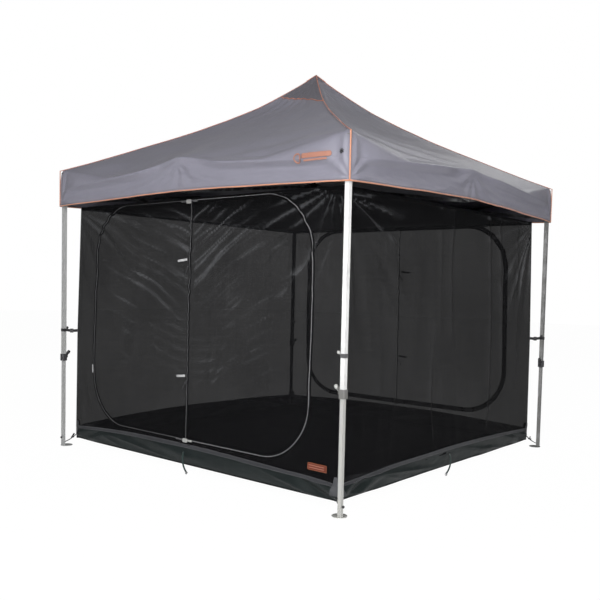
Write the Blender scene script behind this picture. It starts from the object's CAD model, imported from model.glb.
import math

import bpy
import numpy as np
from mathutils import Matrix, Vector
from mathutils.geometry import delaunay_2d_cdt


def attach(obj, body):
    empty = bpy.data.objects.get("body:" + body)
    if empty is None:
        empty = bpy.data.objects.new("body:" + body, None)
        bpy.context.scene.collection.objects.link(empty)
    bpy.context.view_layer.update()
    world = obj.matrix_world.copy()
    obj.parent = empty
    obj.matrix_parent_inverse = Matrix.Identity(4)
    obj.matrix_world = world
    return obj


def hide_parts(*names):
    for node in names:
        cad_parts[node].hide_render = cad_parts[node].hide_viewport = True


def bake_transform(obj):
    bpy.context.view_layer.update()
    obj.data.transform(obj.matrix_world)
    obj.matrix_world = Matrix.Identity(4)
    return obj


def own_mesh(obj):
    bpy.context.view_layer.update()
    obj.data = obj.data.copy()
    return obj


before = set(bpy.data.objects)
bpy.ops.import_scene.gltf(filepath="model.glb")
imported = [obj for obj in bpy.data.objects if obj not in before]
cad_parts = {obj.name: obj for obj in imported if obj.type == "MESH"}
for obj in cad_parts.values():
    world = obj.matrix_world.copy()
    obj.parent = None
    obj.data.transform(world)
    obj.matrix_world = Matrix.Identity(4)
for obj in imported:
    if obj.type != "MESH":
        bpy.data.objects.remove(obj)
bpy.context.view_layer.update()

SIDES = ["front", "right", "back", "left"]
CORNERS = ["front_right", "back_right", "back_left", "front_left"]
HALF = 1.500        # canopy half width
LEG = 1.474
ROOM = 1.390
TUB = 0.160
WALL_TOP = 2.006
PI = math.pi
KEEP_ROOF, KEEP_ROOM = 0.199, 0.0535

# ---------------------------------------------------------------------------
# numpy helpers
# ---------------------------------------------------------------------------


def sstep(t):
    t = np.clip(t, 0.0, 1.0)
    return t * t * (3 - 2 * t)


def noise(x, y, seed):
    """Smooth value noise in about -1..1, the same every run."""
    x, y = np.asarray(x, float) + 512.0, np.asarray(y, float) + 512.0
    xi, yi = np.floor(x).astype(int), np.floor(y).astype(int)
    fx, fy = x - xi, y - yi
    fx, fy = fx * fx * fx * (fx * (fx * 6 - 15) + 10), fy * fy * fy * (fy * (fy * 6 - 15) + 10)

    def h(a, b):
        n = (a * 374761393 + b * 668265263 + seed * 2147483647) & 0xFFFFFFFF
        n = ((n ^ (n >> 13)) * 1274126177) & 0xFFFFFFFF
        n = n ^ (n >> 16)
        return (n & 0xFFFFFF) / float(0xFFFFFF) * 2 - 1

    return (
        h(xi, yi) * (1 - fx) * (1 - fy)
        + h(xi + 1, yi) * fx * (1 - fy)
        + h(xi, yi + 1) * (1 - fx) * fy
        + h(xi + 1, yi + 1) * fx * fy
    )


def fbm(x, y, seed, octaves=3):
    total, amp = 0.0, 1.0
    for o in range(octaves):
        total = total + amp * noise(np.asarray(x) * 2**o, np.asarray(y) * 2**o, seed + 31 * o)
        amp *= 0.5
    return total


def ridge(x, y, seed):
    """Sharper crests than noise: 0 to 1."""
    return (1 - np.abs(noise(x, y, seed))) ** 2.2


def turn(co, k):
    co = np.array(co, float)
    for _ in range(k % 4):
        co = np.stack([-co[..., 1], co[..., 0], co[..., 2]], -1)
    return co


# ---------------------------------------------------------------------------
# mesh helpers
# ---------------------------------------------------------------------------
COL = bpy.context.scene.collection


def new_mesh(name, verts, faces, uvs, mat, smooth=True):
    me = bpy.data.meshes.new(name)
    me.from_pydata([tuple(v) for v in verts], [], [tuple(int(i) for i in f) for f in faces])
    if uvs is not None:
        layer = me.uv_layers.new(name="UVMap")
        idx = np.empty(len(me.loops), int)
        me.loops.foreach_get("vertex_index", idx)
        layer.data.foreach_set("uv", np.asarray(uvs, np.float32)[idx].ravel())
    if smooth:
        me.polygons.foreach_set("use_smooth", [True] * len(me.polygons))
    me.materials.append(mat)
    me.update()
    ob = bpy.data.objects.new(name, me)
    COL.objects.link(ob)
    return ob


def sheet(name, P, uv, mat, flip=False):
    n, m = P.shape[:2]
    i, j = np.meshgrid(np.arange(n - 1), np.arange(m - 1), indexing="ij")
    a = (i * m + j).ravel()
    q = np.stack([a, a + m, a + m + 1, a + 1], -1)
    if flip:
        q = q[:, ::-1]
    return new_mesh(name, P.reshape(-1, 3), q, uv.reshape(-1, 2), mat)


def sweep(name, pts, normal, w, t, mat, seg=10, closed=False, taper=0.0):
    """A strap, tape, cord or piping: an ellipse w by t (half sizes) along pts, w across normal."""
    pts = np.asarray(pts, float)
    n = len(pts)
    if closed:
        tan = np.roll(pts, -1, 0) - np.roll(pts, 1, 0)
    else:
        tan = np.gradient(pts, axis=0)
    tan /= np.linalg.norm(tan, axis=1)[:, None] + 1e-12
    nor = np.broadcast_to(np.asarray(normal, float), pts.shape).copy()
    side = np.cross(nor, tan)
    side /= np.linalg.norm(side, axis=1)[:, None] + 1e-12
    nor = np.cross(tan, side)
    ang = np.arange(seg) / seg * 2 * PI
    sup = 0.6 if w > 2.5 * t else 1.0
    ca, sa = np.cos(ang), np.sin(ang)
    ca, sa = np.sign(ca) * np.abs(ca) ** sup, np.sign(sa) * np.abs(sa) ** sup
    scale = np.ones(n)
    if taper:
        k = max(1, int(taper))
        scale[:k] = np.linspace(0.45, 1, k)
        scale[-k:] = np.linspace(1, 0.45, k)
    V = (
        pts[:, None, :]
        + side[:, None, :] * (ca[None, :, None] * w) * scale[:, None, None]
        + nor[:, None, :] * (sa[None, :, None] * t) * scale[:, None, None]
    )
    step = np.linalg.norm(np.diff(pts, axis=0), axis=1)
    along = np.concatenate([[0], np.cumsum(step)])
    verts = V.reshape(-1, 3)
    uvs = np.stack(
        [np.repeat(along[:, None], seg, 1), np.repeat((ang[None, :] / (2 * PI)) * 2 * (w + t) * 1.6, n, 0)], -1
    ).reshape(-1, 2)
    faces = []
    rings = n if closed else n - 1
    for i in range(rings):
        a, b = i * seg, ((i + 1) % n) * seg
        for j in range(seg):
            k = (j + 1) % seg
            faces.append((a + j, a + k, b + k, b + j))
    if not closed:
        faces.append(tuple(range(seg))[::-1])
        faces.append(tuple(range((n - 1) * seg, n * seg)))
    return new_mesh(name, verts, faces, uvs, mat)


def plate(name, size, centre, mat, bevel=0.002, rot=None, holes=()):
    """A small moulded block with rounded edges, as a rounded-superellipse loft."""
    sx, sy, sz = [s / 2 for s in size]
    prof = [(-sz, 0.0), (-sz, 1.0), (sz, 1.0), (sz, 0.0)]
    bev = min(bevel, sx * 0.6, sy * 0.6, sz * 0.9)
    rows = []
    levels = [(-sz, -bev), (-sz + bev * 0.3, -bev * 0.3), (-sz + bev, 0), (sz - bev, 0), (sz - bev * 0.3, -bev * 0.3), (sz, -bev)]
    seg = 24
    ang = (np.arange(seg) + 0.5) / seg * 2 * PI
    for z, grow in levels:
        c, s = np.cos(ang), np.sin(ang)
        e = 0.28
        x = np.sign(c) * np.abs(c) ** e * (sx + grow)
        y = np.sign(s) * np.abs(s) ** e * (sy + grow)
        rows.append(np.stack([x, y, np.full(seg, z)], -1))
    V = np.concatenate(rows)
    faces = []
    for r in range(len(rows) - 1):
        for j in range(seg):
            k = (j + 1) % seg
            faces.append((r * seg + j, r * seg + k, (r + 1) * seg + k, (r + 1) * seg + j))
    faces.append(tuple(range(seg))[::-1])
    faces.append(tuple(range((len(rows) - 1) * seg, len(rows) * seg)))
    if rot is not None:
        V = V @ np.array(rot.to_3x3()).T
    V = V + np.array(centre)
    ob = new_mesh(name, V, faces, V[:, :2] * 1.0, mat)
    for p in list(ob.data.polygons)[-2:]:
        p.use_smooth = False
    return ob


# ---------------------------------------------------------------------------
# materials
# ---------------------------------------------------------------------------


class M:
    """A small wrapper that makes node graphs readable."""

    def __init__(self, name):
        self.m = bpy.data.materials.new(name)
        self.m.use_nodes = True
        self.nt = self.m.node_tree
        self.nt.nodes.clear()
        self.out = self.nt.nodes.new("ShaderNodeOutputMaterial")

    def node(self, kind, **values):
        n = self.nt.nodes.new(kind)
        for k, v in values.items():
            setattr(n, k, v)
        return n

    def link(self, a, b):
        self.nt.links.new(a, b)

    def put(self, socket, value):
        if hasattr(value, "is_linked") or isinstance(value, bpy.types.NodeSocket):
            self.link(value, socket)
        else:
            socket.default_value = value

    def math(self, op, a, b=0.0, c=None, clamp=False):
        n = self.node("ShaderNodeMath", operation=op, use_clamp=clamp)
        self.put(n.inputs[0], a)
        self.put(n.inputs[1], b)
        if c is not None:
            self.put(n.inputs[2], c)
        return n.outputs[0]

    def mix(self, f, a, b):
        n = self.node("ShaderNodeMix", data_type="RGBA")
        self.put(n.inputs[0], f)
        self.put(n.inputs[6], a)
        self.put(n.inputs[7], b)
        return n.outputs[2]

    def coords(self):
        return self.node("ShaderNodeTexCoord")

    def noise(self, vec, scale, detail=3.0, rough=0.55, stretch=None):
        if stretch:
            mp = self.node("ShaderNodeMapping")
            self.link(vec, mp.inputs[0])
            mp.inputs[3].default_value = stretch
            vec = mp.outputs[0]
        n = self.node("ShaderNodeTexNoise")
        self.link(vec, n.inputs["Vector"])
        n.inputs["Scale"].default_value = scale
        n.inputs["Detail"].default_value = detail
        n.inputs["Roughness"].default_value = rough
        return n.outputs["Fac"]

    def ramp(self, f, stops):
        n = self.node("ShaderNodeValToRGB")
        self.link(f, n.inputs[0])
        el = n.color_ramp.elements
        while len(el) < len(stops):
            el.new(0.5)
        for e, (p, c) in zip(el, stops):
            e.position, e.color = p, (*c, 1) if len(c) == 3 else c
        return n.outputs[0]

    def weave(self, pitch_u, pitch_v=None):
        """Over-and-under threads from the UV map, which is in metres. Returns 0..1."""
        uv = self.coords().outputs["UV"]
        sep = self.node("ShaderNodeSeparateXYZ")
        self.link(uv, sep.inputs[0])
        a = self.math("SINE", self.math("MULTIPLY", sep.outputs[0], 2 * PI / pitch_u))
        b = self.math("SINE", self.math("MULTIPLY", sep.outputs[1], 2 * PI / (pitch_v or pitch_u)))
        return self.math("MULTIPLY_ADD", self.math("MULTIPLY", a, b), 0.5, 0.5), sep

    def bump(self, height, strength, distance, normal=None):
        n = self.node("ShaderNodeBump")
        n.inputs["Strength"].default_value = strength
        n.inputs["Distance"].default_value = distance
        self.link(height, n.inputs["Height"])
        if normal is not None:
            self.link(normal, n.inputs["Normal"])
        return n.outputs[0]

    def principled(self, **v):
        n = self.node("ShaderNodeBsdfPrincipled")
        for k, val in v.items():
            self.put(n.inputs[k.replace("_", " ")], val)
        return n

    def finish(self, shader):
        self.link(shader, self.out.inputs[0])
        return self.m


def mat_cloth(name, base, pitch, rough, spec, sheen, var=0.10, streak=(3, 3, 3), weave_bump=0.25, fade=0.0, alt=None):
    m = M(name)
    tc = m.coords()
    w, sep = m.weave(pitch)
    big = m.noise(tc.outputs["Object"], 2.2, 4, 0.6)
    fine = m.noise(tc.outputs["Object"], 60, 3, 0.6)
    lo = tuple(c * (1 - var) for c in base)
    hi = tuple(c * (1 + var) for c in base)
    col = m.mix(m.ramp(big, [(0.3, (0, 0, 0)), (0.7, (1, 1, 1))]), (*lo, 1), (*hi, 1))
    col = m.mix(m.math("MULTIPLY", w, 0.16), col, (*[c * 1.25 for c in base], 1))
    col = m.mix(m.math("MULTIPLY", fine, 0.10), col, (*[c * 0.7 for c in base], 1))
    wr = m.noise(tc.outputs["Object"], 14, 5, 0.62, stretch=streak)
    nb = m.bump(wr, 0.20, 0.006)
    nb = m.bump(w, weave_bump, 0.0006, nb)
    r = m.math("MULTIPLY_ADD", fine, 0.16, rough - 0.08)
    p = m.principled(Base_Color=col, Roughness=r, Specular_IOR_Level=spec, Sheen_Weight=sheen, Normal=nb)
    p.inputs["Sheen Roughness"].default_value = 0.45
    return m.finish(p.outputs[0])


def mat_mesh(name, base, keep, pitch=0.0016, gloss=0.25, tone=(1, 1, 1), glint=False):
    """Insect mesh: knitted threads with open holes; a slanted sheet shows fewer holes."""
    m = M(name)
    tc = m.coords()
    w, sep = m.weave(pitch)
    uvc = tc.outputs["UV"]
    tilt = m.node("ShaderNodeLayerWeight")
    tilt.inputs["Blend"].default_value = 0.5
    # facing: 0 face-on, towards 1 edge-on
    facing = tilt.outputs["Facing"]
    cloud = m.noise(tc.outputs["Object"], 1.6, 4, 0.6)
    open_share = m.math("MULTIPLY_ADD", m.math("SUBTRACT", cloud, 0.5), 0.10, keep)
    open_share = m.math("MULTIPLY_ADD", m.math("SUBTRACT", w, 0.5), 0.12, open_share)
    # uneven knitting: faint bands along and across the cloth
    warp = m.noise(uvc, 1.0, 3, 0.7, stretch=(70, 1.6, 1))
    weft = m.noise(uvc, 1.0, 3, 0.7, stretch=(1.6, 70, 1))
    open_share = m.math("MULTIPLY_ADD", m.math("SUBTRACT", m.math("ADD", warp, weft), 1.0), 0.085, open_share)
    open_share = m.math("MULTIPLY", open_share, m.math("SUBTRACT", 1.0, m.math("POWER", facing, 2.2)), clamp=True)
    fine = m.noise(tc.outputs["Object"], 90, 2, 0.5)
    col = m.mix(fine, (*[c * 0.75 for c in base], 1), (*[c * 1.3 for c in base], 1))
    if glint:
        at = m.node("ShaderNodeAttribute", attribute_name="glint")
        shine = m.math("MULTIPLY", at.outputs["Fac"], m.math("MULTIPLY_ADD", fine, 0.5, 0.60), clamp=True)
        open_share = m.math("MULTIPLY", open_share, m.math("MULTIPLY_ADD", shine, -0.35, 1.0))
        col = m.mix(shine, col, (0.100, 0.102, 0.108, 1))
    nb = m.bump(w, 0.3, 0.0005)
    p = m.principled(Base_Color=col, Roughness=0.55, Specular_IOR_Level=gloss, Sheen_Weight=0.01, Normal=nb)
    p.inputs["Sheen Tint"].default_value = (*tone, 1)
    tr = m.node("ShaderNodeBsdfTransparent")
    mx = m.node("ShaderNodeMixShader")
    m.link(open_share, mx.inputs[0])
    m.link(p.outputs[0], mx.inputs[1])
    m.link(tr.outputs[0], mx.inputs[2])
    return m.finish(mx.outputs[0])


def mat_powder(name, base, rough=0.36, metallic=0.0, wear=0.35):
    m = M(name)
    tc = m.coords()
    peel = m.noise(tc.outputs["Object"], 900, 2, 0.5)
    smudge = m.noise(tc.outputs["Object"], 9, 5, 0.65)
    streak = m.noise(tc.outputs["Object"], 30, 4, 0.6, stretch=(6, 6, 0.35))
    geo = m.node("ShaderNodeNewGeometry")
    edge = m.ramp(geo.outputs["Pointiness"], [(0.50, (0, 0, 0)), (0.60, (1, 1, 1))])
    worn = m.math("MULTIPLY", m.math("MULTIPLY", edge, wear), m.ramp(smudge, [(0.45, (0, 0, 0)), (0.6, (1, 1, 1))]))
    col = m.mix(m.math("MULTIPLY", streak, 0.22), (*base, 1), (*[c * 0.72 for c in base], 1))
    col = m.mix(worn, col, (0.42, 0.42, 0.43, 1))
    nb = m.bump(peel, 0.10, 0.0004)
    r = m.math("MULTIPLY_ADD", smudge, 0.20, rough - 0.10)
    p = m.principled(Base_Color=col, Roughness=r, Metallic=metallic, Specular_IOR_Level=0.5, Normal=nb)
    return m.finish(p.outputs[0])


def mat_plastic(name, base, rough=0.48):
    m = M(name)
    tc = m.coords()
    grain = m.noise(tc.outputs["Object"], 1300, 2, 0.6)
    smudge = m.noise(tc.outputs["Object"], 24, 5, 0.65)
    geo = m.node("ShaderNodeNewGeometry")
    edge = m.ramp(geo.outputs["Pointiness"], [(0.50, (0, 0, 0)), (0.62, (1, 1, 1))])
    col = m.mix(m.math("MULTIPLY", edge, 0.5), (*base, 1), (*[min(1, c * 2.4 + 0.03) for c in base], 1))
    col = m.mix(m.math("MULTIPLY", smudge, 0.25), col, (*[c * 1.5 + 0.01 for c in base], 1))
    nb = m.bump(grain, 0.22, 0.0004)
    r = m.math("MULTIPLY_ADD", smudge, 0.22, rough - 0.10)
    p = m.principled(Base_Color=col, Roughness=r, Specular_IOR_Level=0.4, Normal=nb)
    return m.finish(p.outputs[0])


def mat_webbing(name, base, rib=0.0022):
    m = M(name)
    tc = m.coords()
    w, sep = m.weave(rib, rib * 1.7)
    ribs = m.math("SINE", m.math("MULTIPLY", sep.outputs[1], 2 * PI / (rib * 1.2)))
    h = m.math("MULTIPLY_ADD", ribs, 0.35, w)
    n = m.noise(tc.outputs["Object"], 40, 4, 0.6)
    col = m.mix(m.math("MULTIPLY", w, 0.5), (*[c * 0.7 for c in base], 1), (*[min(1, c * 1.3) for c in base], 1))
    col = m.mix(m.math("MULTIPLY", n, 0.3), col, (*[c * 0.6 for c in base], 1))
    nb = m.bump(h, 0.5, 0.0008)
    p = m.principled(Base_Color=col, Roughness=0.72, Specular_IOR_Level=0.25, Sheen_Weight=0.2, Normal=nb)
    return m.finish(p.outputs[0])


def mat_zip(name, base):
    """Coil zip: close-set teeth along the UV's length."""
    m = M(name)
    tc = m.coords()
    uv = tc.outputs["UV"]
    sep = m.node("ShaderNodeSeparateXYZ")
    m.link(uv, sep.inputs[0])
    teeth = m.math("MULTIPLY_ADD", m.math("SINE", m.math("MULTIPLY", sep.outputs[0], 2 * PI / 0.0028)), 0.5, 0.5)
    n = m.noise(tc.outputs["Object"], 5, 3, 0.6)
    col = m.mix(teeth, (*[c * 0.45 for c in base], 1), (*base, 1))
    col = m.mix(m.math("MULTIPLY", n, 0.35), col, (*[c * 0.6 for c in base], 1))
    nb = m.bump(teeth, 0.7, 0.0010)
    p = m.principled(Base_Color=col, Roughness=0.38, Specular_IOR_Level=0.6, Normal=nb)
    return m.finish(p.outputs[0])


CANOPY = mat_cloth("canopy_cloth", (0.208, 0.203, 0.246), 0.0014, 0.40, 0.60, 0.10, var=0.05, streak=(1.0, 1.0, 3.4), weave_bump=0.22)
CAP = mat_cloth("canopy_cap_cloth", (0.130, 0.124, 0.145), 0.0014, 0.48, 0.40, 0.10, var=0.05, streak=(1, 1, 2), weave_bump=0.22)
PIPING = mat_cloth("piping", (0.54, 0.250, 0.158), 0.0018, 0.55, 0.30, 0.20, var=0.08, weave_bump=0.35)
HIPPIPE = mat_cloth("piping_hip", (0.46, 0.170, 0.112), 0.0018, 0.55, 0.30, 0.20, var=0.08, weave_bump=0.35)
MESH = mat_mesh("mesh", (0.0050, 0.0050, 0.0056), 0.174, gloss=0.04, glint=True)
TUBC = mat_cloth("tub_cloth", (0.0105, 0.0145, 0.0145), 0.0016, 0.36, 0.26, 0.02, var=0.25, streak=(2, 2, 4), weave_bump=0.25)
TUBBAND = mat_cloth("tub_band", (0.032, 0.033, 0.037), 0.0016, 0.55, 0.30, 0.12, var=0.20, streak=(2, 2, 5), weave_bump=0.35)
FLOORC = mat_cloth("tub_floor_cloth", (0.0045, 0.0047, 0.0048), 0.0018, 0.75, 0.03, 0.0, var=0.2, streak=(2, 2, 2), weave_bump=0.25)
CEIL = mat_mesh("ceiling_mesh", (0.004, 0.004, 0.0045), 0.14, gloss=0.03)
SEAMC = mat_webbing("corner_seam", (0.10, 0.10, 0.105), 0.0018)
TAPE = mat_cloth("zip_tape", (0.0045, 0.0045, 0.0050), 0.0018, 0.70, 0.05, 0.0, var=0.15, weave_bump=0.4)
COIL_L = mat_zip("zip_coil_light", (0.30, 0.30, 0.31))
COIL_M = mat_zip("zip_coil_mid_grey", (0.105, 0.105, 0.110))
COIL_D = mat_zip("zip_coil_dark", (0.05, 0.05, 0.053))
WEB = mat_webbing("webbing_black", (0.018, 0.018, 0.020))
WEBG = mat_webbing("webbing_green", (0.020, 0.042, 0.038))
WEBGREY = mat_webbing("webbing_grey", (0.10, 0.10, 0.105))
TABW = mat_webbing("tab_white", (0.55, 0.55, 0.56))
REINF = mat_cloth("reinforcement", (0.055, 0.057, 0.062), 0.0016, 0.5, 0.35, 0.1, var=0.2)
STEEL = mat_powder("frame_steel", (0.80, 0.80, 0.79), 0.34)
STEEL_LOW = mat_powder("frame_steel_lower", (0.44, 0.44, 0.415), 0.36)
STEEL_SIDE = mat_powder("frame_steel_side", (0.38, 0.385, 0.38), 0.34)
STEEL_FAR = mat_powder("frame_steel_far", (0.185, 0.185, 0.180), 0.36)
TRUSS = mat_powder("truss_steel", (0.060, 0.060, 0.063), 0.42)
FOOTM = mat_powder("foot_steel", (0.52, 0.52, 0.49), 0.40)
BLACKP = mat_plastic("plastic_black", (0.018, 0.018, 0.020))
GREYP = mat_plastic("plastic_grey", (0.085, 0.084, 0.080))
BUCKLE = mat_plastic("buckle_grey", (0.28, 0.28, 0.27), 0.42)
PATCHC = mat_cloth("patch", (0.125, 0.022, 0.009), 0.0012, 0.5, 0.3, 0.1, var=0.12)
PATCHEDGE = mat_cloth("patch_edge", (0.23, 0.070, 0.030), 0.0014, 0.5, 0.3, 0.1, var=0.12)
PRINT = mat_cloth("print", (0.34, 0.158, 0.112), 0.0014, 0.5, 0.35, 0.05, var=0.10)
PEGM = mat_powder("peg_steel", (0.30, 0.30, 0.31), 0.35, metallic=0.9)

# carried-over CAD nodes
for n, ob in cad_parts.items():
    ob.data.materials.clear()
    if n.startswith("leg_fittings"):
        ob.data.materials.append(GREYP if n.endswith("front_right") else BLACKP)
    elif n.startswith(("slider", "centre_hub", "mast_cap")) or n.endswith("truss_joint"):
        ob.data.materials.append(BLACKP)
    elif n.startswith("lower_leg"):
        ob.data.materials.append(STEEL_LOW if n.endswith("front_right") else (STEEL_FAR if n.endswith("back_right") else STEEL_SIDE))
    elif n.startswith("upper_leg") and not n.endswith("front_right"):
        ob.data.materials.append(STEEL_FAR if n.endswith("back_right") else STEEL_SIDE)
    elif "brace" in n or "strut" in n:
        ob.data.materials.append(TRUSS)
    else:
        ob.data.materials.append(STEEL)


def ride(ob, body, squash=None, stands=()):
    """Ride a CAD body; squash is (axis, anchor, keep)."""
    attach(ob, body)
    if squash:
        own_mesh(ob)
    if stands:
        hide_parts(*stands)
    return ob


# ---------------------------------------------------------------------------
# canopy: one continuous curved sheet in four sewn gores, and its valance
# ---------------------------------------------------------------------------
HIP = np.array([(0.0, 3.186), (0.05, 3.138), (0.10, 3.090), (0.17, 3.030), (0.26, 2.955), (0.35, 2.885), (0.44, 2.828),
                (0.53, 2.772), (0.62, 2.722), (0.70, 2.676), (0.79, 2.630), (0.88, 2.585), (0.97, 2.543), (1.06, 2.500),
                (1.15, 2.456), (1.24, 2.414), (1.32, 2.376), (1.40, 2.342), (1.50, 2.2995)])
HIP_U = np.linspace(0, 1.5, 301)
HIP_V = np.interp(HIP_U, HIP[:, 0], HIP[:, 1])
KERN = np.hanning(19) / np.hanning(19).sum()
HIP_V = np.convolve(np.concatenate([2 * HIP_V[0] - HIP_V[9:0:-1], HIP_V, 2 * HIP_V[-1] - HIP_V[-2:-11:-1]]), KERN, "valid")


def hip_z(u):
    return np.interp(u, HIP_U, HIP_V)


BUMP_Z = [2.276, 2.266, 2.272, 2.268]      # where the middle of each truss holds the cloth up
CORNER_Z = 2.147
FALL = np.array([(0, 0), (0.06, 0.12), (0.132, 0.27), (0.264, 0.50), (0.449, 0.65), (0.727, 0.84), (1.0, 1.0), (1.1, 1.0)])


def crease_z(x, k):
    """Height of the soft fold where the roof turns down into the valance."""
    ax = np.abs(np.asarray(x, float)) / HALF
    if k % 2 == 0:
        f = sum(np.interp(np.abs(ax + d), FALL[:, 0], FALL[:, 1]) for d in (-0.03, 0.0, 0.03)) / 3
        f = f / (sum(np.interp(1 + d, FALL[:, 0], FALL[:, 1]) for d in (-0.03, 0.0, 0.03)) / 3)
    else:
        f = ax**1.02
    z = BUMP_Z[k] - (BUMP_Z[k] - CORNER_Z) * f
    return z - 0.004 * np.sin(PI * np.clip(ax, 0, 1)) * noise(x * 2.0, 0 * ax, 40 + k)


def hem_z(x, k):
    ax = np.abs(np.asarray(x, float)) / HALF
    lift = [0.033, 0.050, 0.036, 0.042][k]
    return 2.0115 + lift * (1 - ax**1.25) + 0.0030 * noise(x * 3.1, 0 * ax + 3, 50 + k) * np.sin(PI * np.clip(ax, 0, 1))


def eave_z(x, k):
    """Where the cloth comes over the truss and into the valance's plane."""
    ax = np.abs(np.asarray(x, float))
    bars = np.maximum(2.082 + 0.1414 * ax, 2.279 - 0.1414 * ax)
    e = np.maximum(crease_z(x, k) + 0.012, bars)
    b = sstep((ax - 1.42) / 0.08)
    return e * (1 - b) + 2.2995 * b


def gore_point(a, u, k, out=0.0):
    """a: -1..1 between the hips, u: 0 at the peak to HALF at the eave."""
    x = a * u
    t = np.clip((u - np.abs(x)) / np.maximum(HALF - np.abs(x), 1e-6), 0, 1)
    t = np.where(np.abs(a) >= 0.99999, 0.0, t)
    drop = 2.2995 - eave_z(x, k)
    z = hip_z(u) - drop * (0.30 * t**1.6 + 0.70 * t**4.5)
    # the gore is a saddle: between its hips it lies a little under them
    z = z - 0.022 * (1 - a * a) * np.sin(PI * np.clip(u / HALF, 0, 1)) ** 0.8
    inside = sstep((1 - np.abs(a)) / 0.10) * sstep(u / 0.25) * sstep((HALF - u) / 0.06)
    # long soft tension folds from the corners towards the middle of the truss
    ph = (z - 2.14) / 0.13 + 0.9 * (1 - np.abs(a)) + 0.5 * noise(x * 1.2, u * 1.2, 60 + k)
    near = sstep((u - 0.55) / 0.8)
    z = z + inside * near * 0.0075 * np.sin(2 * PI * ph) * (0.5 + 0.5 * noise(x * 0.9, u * 1.7, 61 + k))
    # faint folds that run up towards the peak
    z = z + inside * 0.0026 * np.sin(a * 21 + 3.0 * noise(u * 2.2, a * 2.0, 62 + k)) * sstep((1.25 - u) / 0.9)
    z = z + inside * 0.0030 * fbm(x * 2.2, u * 5.0, 63 + k, 3)
    # storage creases
    for c in (0.62, 1.02):
        z = z - inside * 0.0022 * np.exp(-(((u - c) / 0.012) ** 2)) * (0.6 + 0.4 * noise(x * 3, 0 * x, 64 + k))
    for c in (-0.45, 0.02, 0.48):
        z = z - inside * 0.0018 * np.exp(-(((x - c) / 0.012) ** 2))
    return np.stack([x, -u, z + out], -1)


def valance_point(x, v, k):
    """v: 0 at the crease to 1 at the hem. The cloth lies on the truss and stands off in front of it."""
    zt, zb = crease_z(x, k), hem_z(x, k)
    z = zt + (zb - zt) * v
    ax = np.abs(x)
    end = sstep((HALF - ax) / 0.06)
    belly = 0.006 + 0.032 * sstep((ax - 0.16) / 0.30) * sstep((1.44 - ax) / 0.22)
    y = -belly * (1 - sstep(v / 0.36)) - 0.006 * sstep((v - 0.62) / 0.38)
    # swags that run from the corner's foot up to the middle of the truss
    span = np.sin(PI * np.clip(ax / HALF, 0, 1)) ** 0.7
    for i, (off, amp, wid) in enumerate(((0.060, 0.007, 0.018), (0.105, 0.010, 0.022), (0.150, 0.006, 0.020))):
        line = zt - off * (0.45 + 0.75 * span) + 0.012 * noise(x * 2.3, 0 * x + i, 70 + k)
        y = y - amp * np.exp(-(((z - line) / wid) ** 2)) * (0.35 + 0.65 * span) * (0.6 + 0.6 * noise(x * 1.7, 0 * x + 9 * i, 71 + k))
    # short folds that fan out of each lower corner
    for s in (-1, 1):
        dx, dz = np.abs(s * HALF - x), z - 2.025
        r = np.hypot(dx, dz) + 1e-6
        th = np.arctan2(dz, dx)
        fan = 0.5 + 0.5 * np.sin(th * 10.5 + 0.7 + 0.5 * noise(r * 5, th * 2, 72 + k))
        y = y - 0.008 * fan * np.exp(-(((r - 0.13) / 0.13) ** 2)) * (dx < 0.7)
    # crinkles over the end of the truss, and small ones near the hem
    r = np.hypot(x, z - (BUMP_Z[k] - 0.02))
    th = np.arctan2(z - (BUMP_Z[k] - 0.02), x)
    y = y - 0.006 * (0.5 + 0.5 * np.sin(th * 9 + 0.6)) * np.exp(-(((r - 0.12) / 0.09) ** 2)) * sstep(v / 0.2)
    y = y - 0.008 * np.exp(-((x / 0.16) ** 2)) * np.exp(-(((v - 0.05) / 0.35) ** 2))
    y = y - 0.0034 * (1 + fbm(x * 3.2, z * 15, 73 + k, 3)) * np.sin(PI * np.clip(v, 0, 1)) ** 0.5
    y = y - 0.0030 * ridge(x * 7.0 + 2 * z, z * 30, 74 + k) * sstep((v - 0.5) / 0.3) * (1 - sstep((v - 0.93) / 0.07))
    y = np.minimum(y * end, 0.0) - HALF
    return np.stack([x, y, z], -1)


NA, NU, NV = 221, 120, 38
a_line = np.sin(np.linspace(-1, 1, NA) * PI / 2 * 0.985) / math.sin(PI / 2 * 0.985)
a_line = 0.55 * a_line + 0.45 * np.linspace(-1, 1, NA)
v_line = np.linspace(0, 1, NV)
PEAK_U = 0.034       # above this the peak cap covers the seam
TURN_U = 1.478       # where the roof begins its soft turn down over the truss


def gore(k):
    u_line = PEAK_U + np.linspace(0, 1, NU) ** 0.9 * (TURN_U - PEAK_U)
    A, U = np.meshgrid(a_line, u_line, indexing="xy")          # rows: u
    P = gore_point(A, U, k)
    x_end = a_line * HALF
    foot = valance_point(x_end, np.zeros_like(x_end), k)
    last = P[-1]
    crown = np.stack([x_end, foot[:, 1] * 0.6 - 0.4 * (HALF + 0.001) - 0.003 * sstep((HALF - np.abs(x_end)) / 0.06), eave_z(x_end, k) + 0.001], -1)
    crown[0, 1] = crown[-1, 1] = -HALF
    rows = [P]
    for s in np.linspace(0, 1, 13)[1:]:
        rows.append(((1 - s) ** 2 * last + 2 * s * (1 - s) * crown + s * s * foot)[None])
    P = np.concatenate(rows)
    along = np.concatenate([[0], np.cumsum(np.linalg.norm(np.diff(P[:, NA // 2], axis=0), axis=1))])
    uv = np.stack([P[..., 0], np.repeat(along[:, None], NA, 1)], -1)
    return P, uv


def squash_roof(k):
    ax = (1, 0, 0) if k % 2 == 0 else (0, 1, 0)
    return (ax, (0, 0, 0), KEEP_ROOF)


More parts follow.
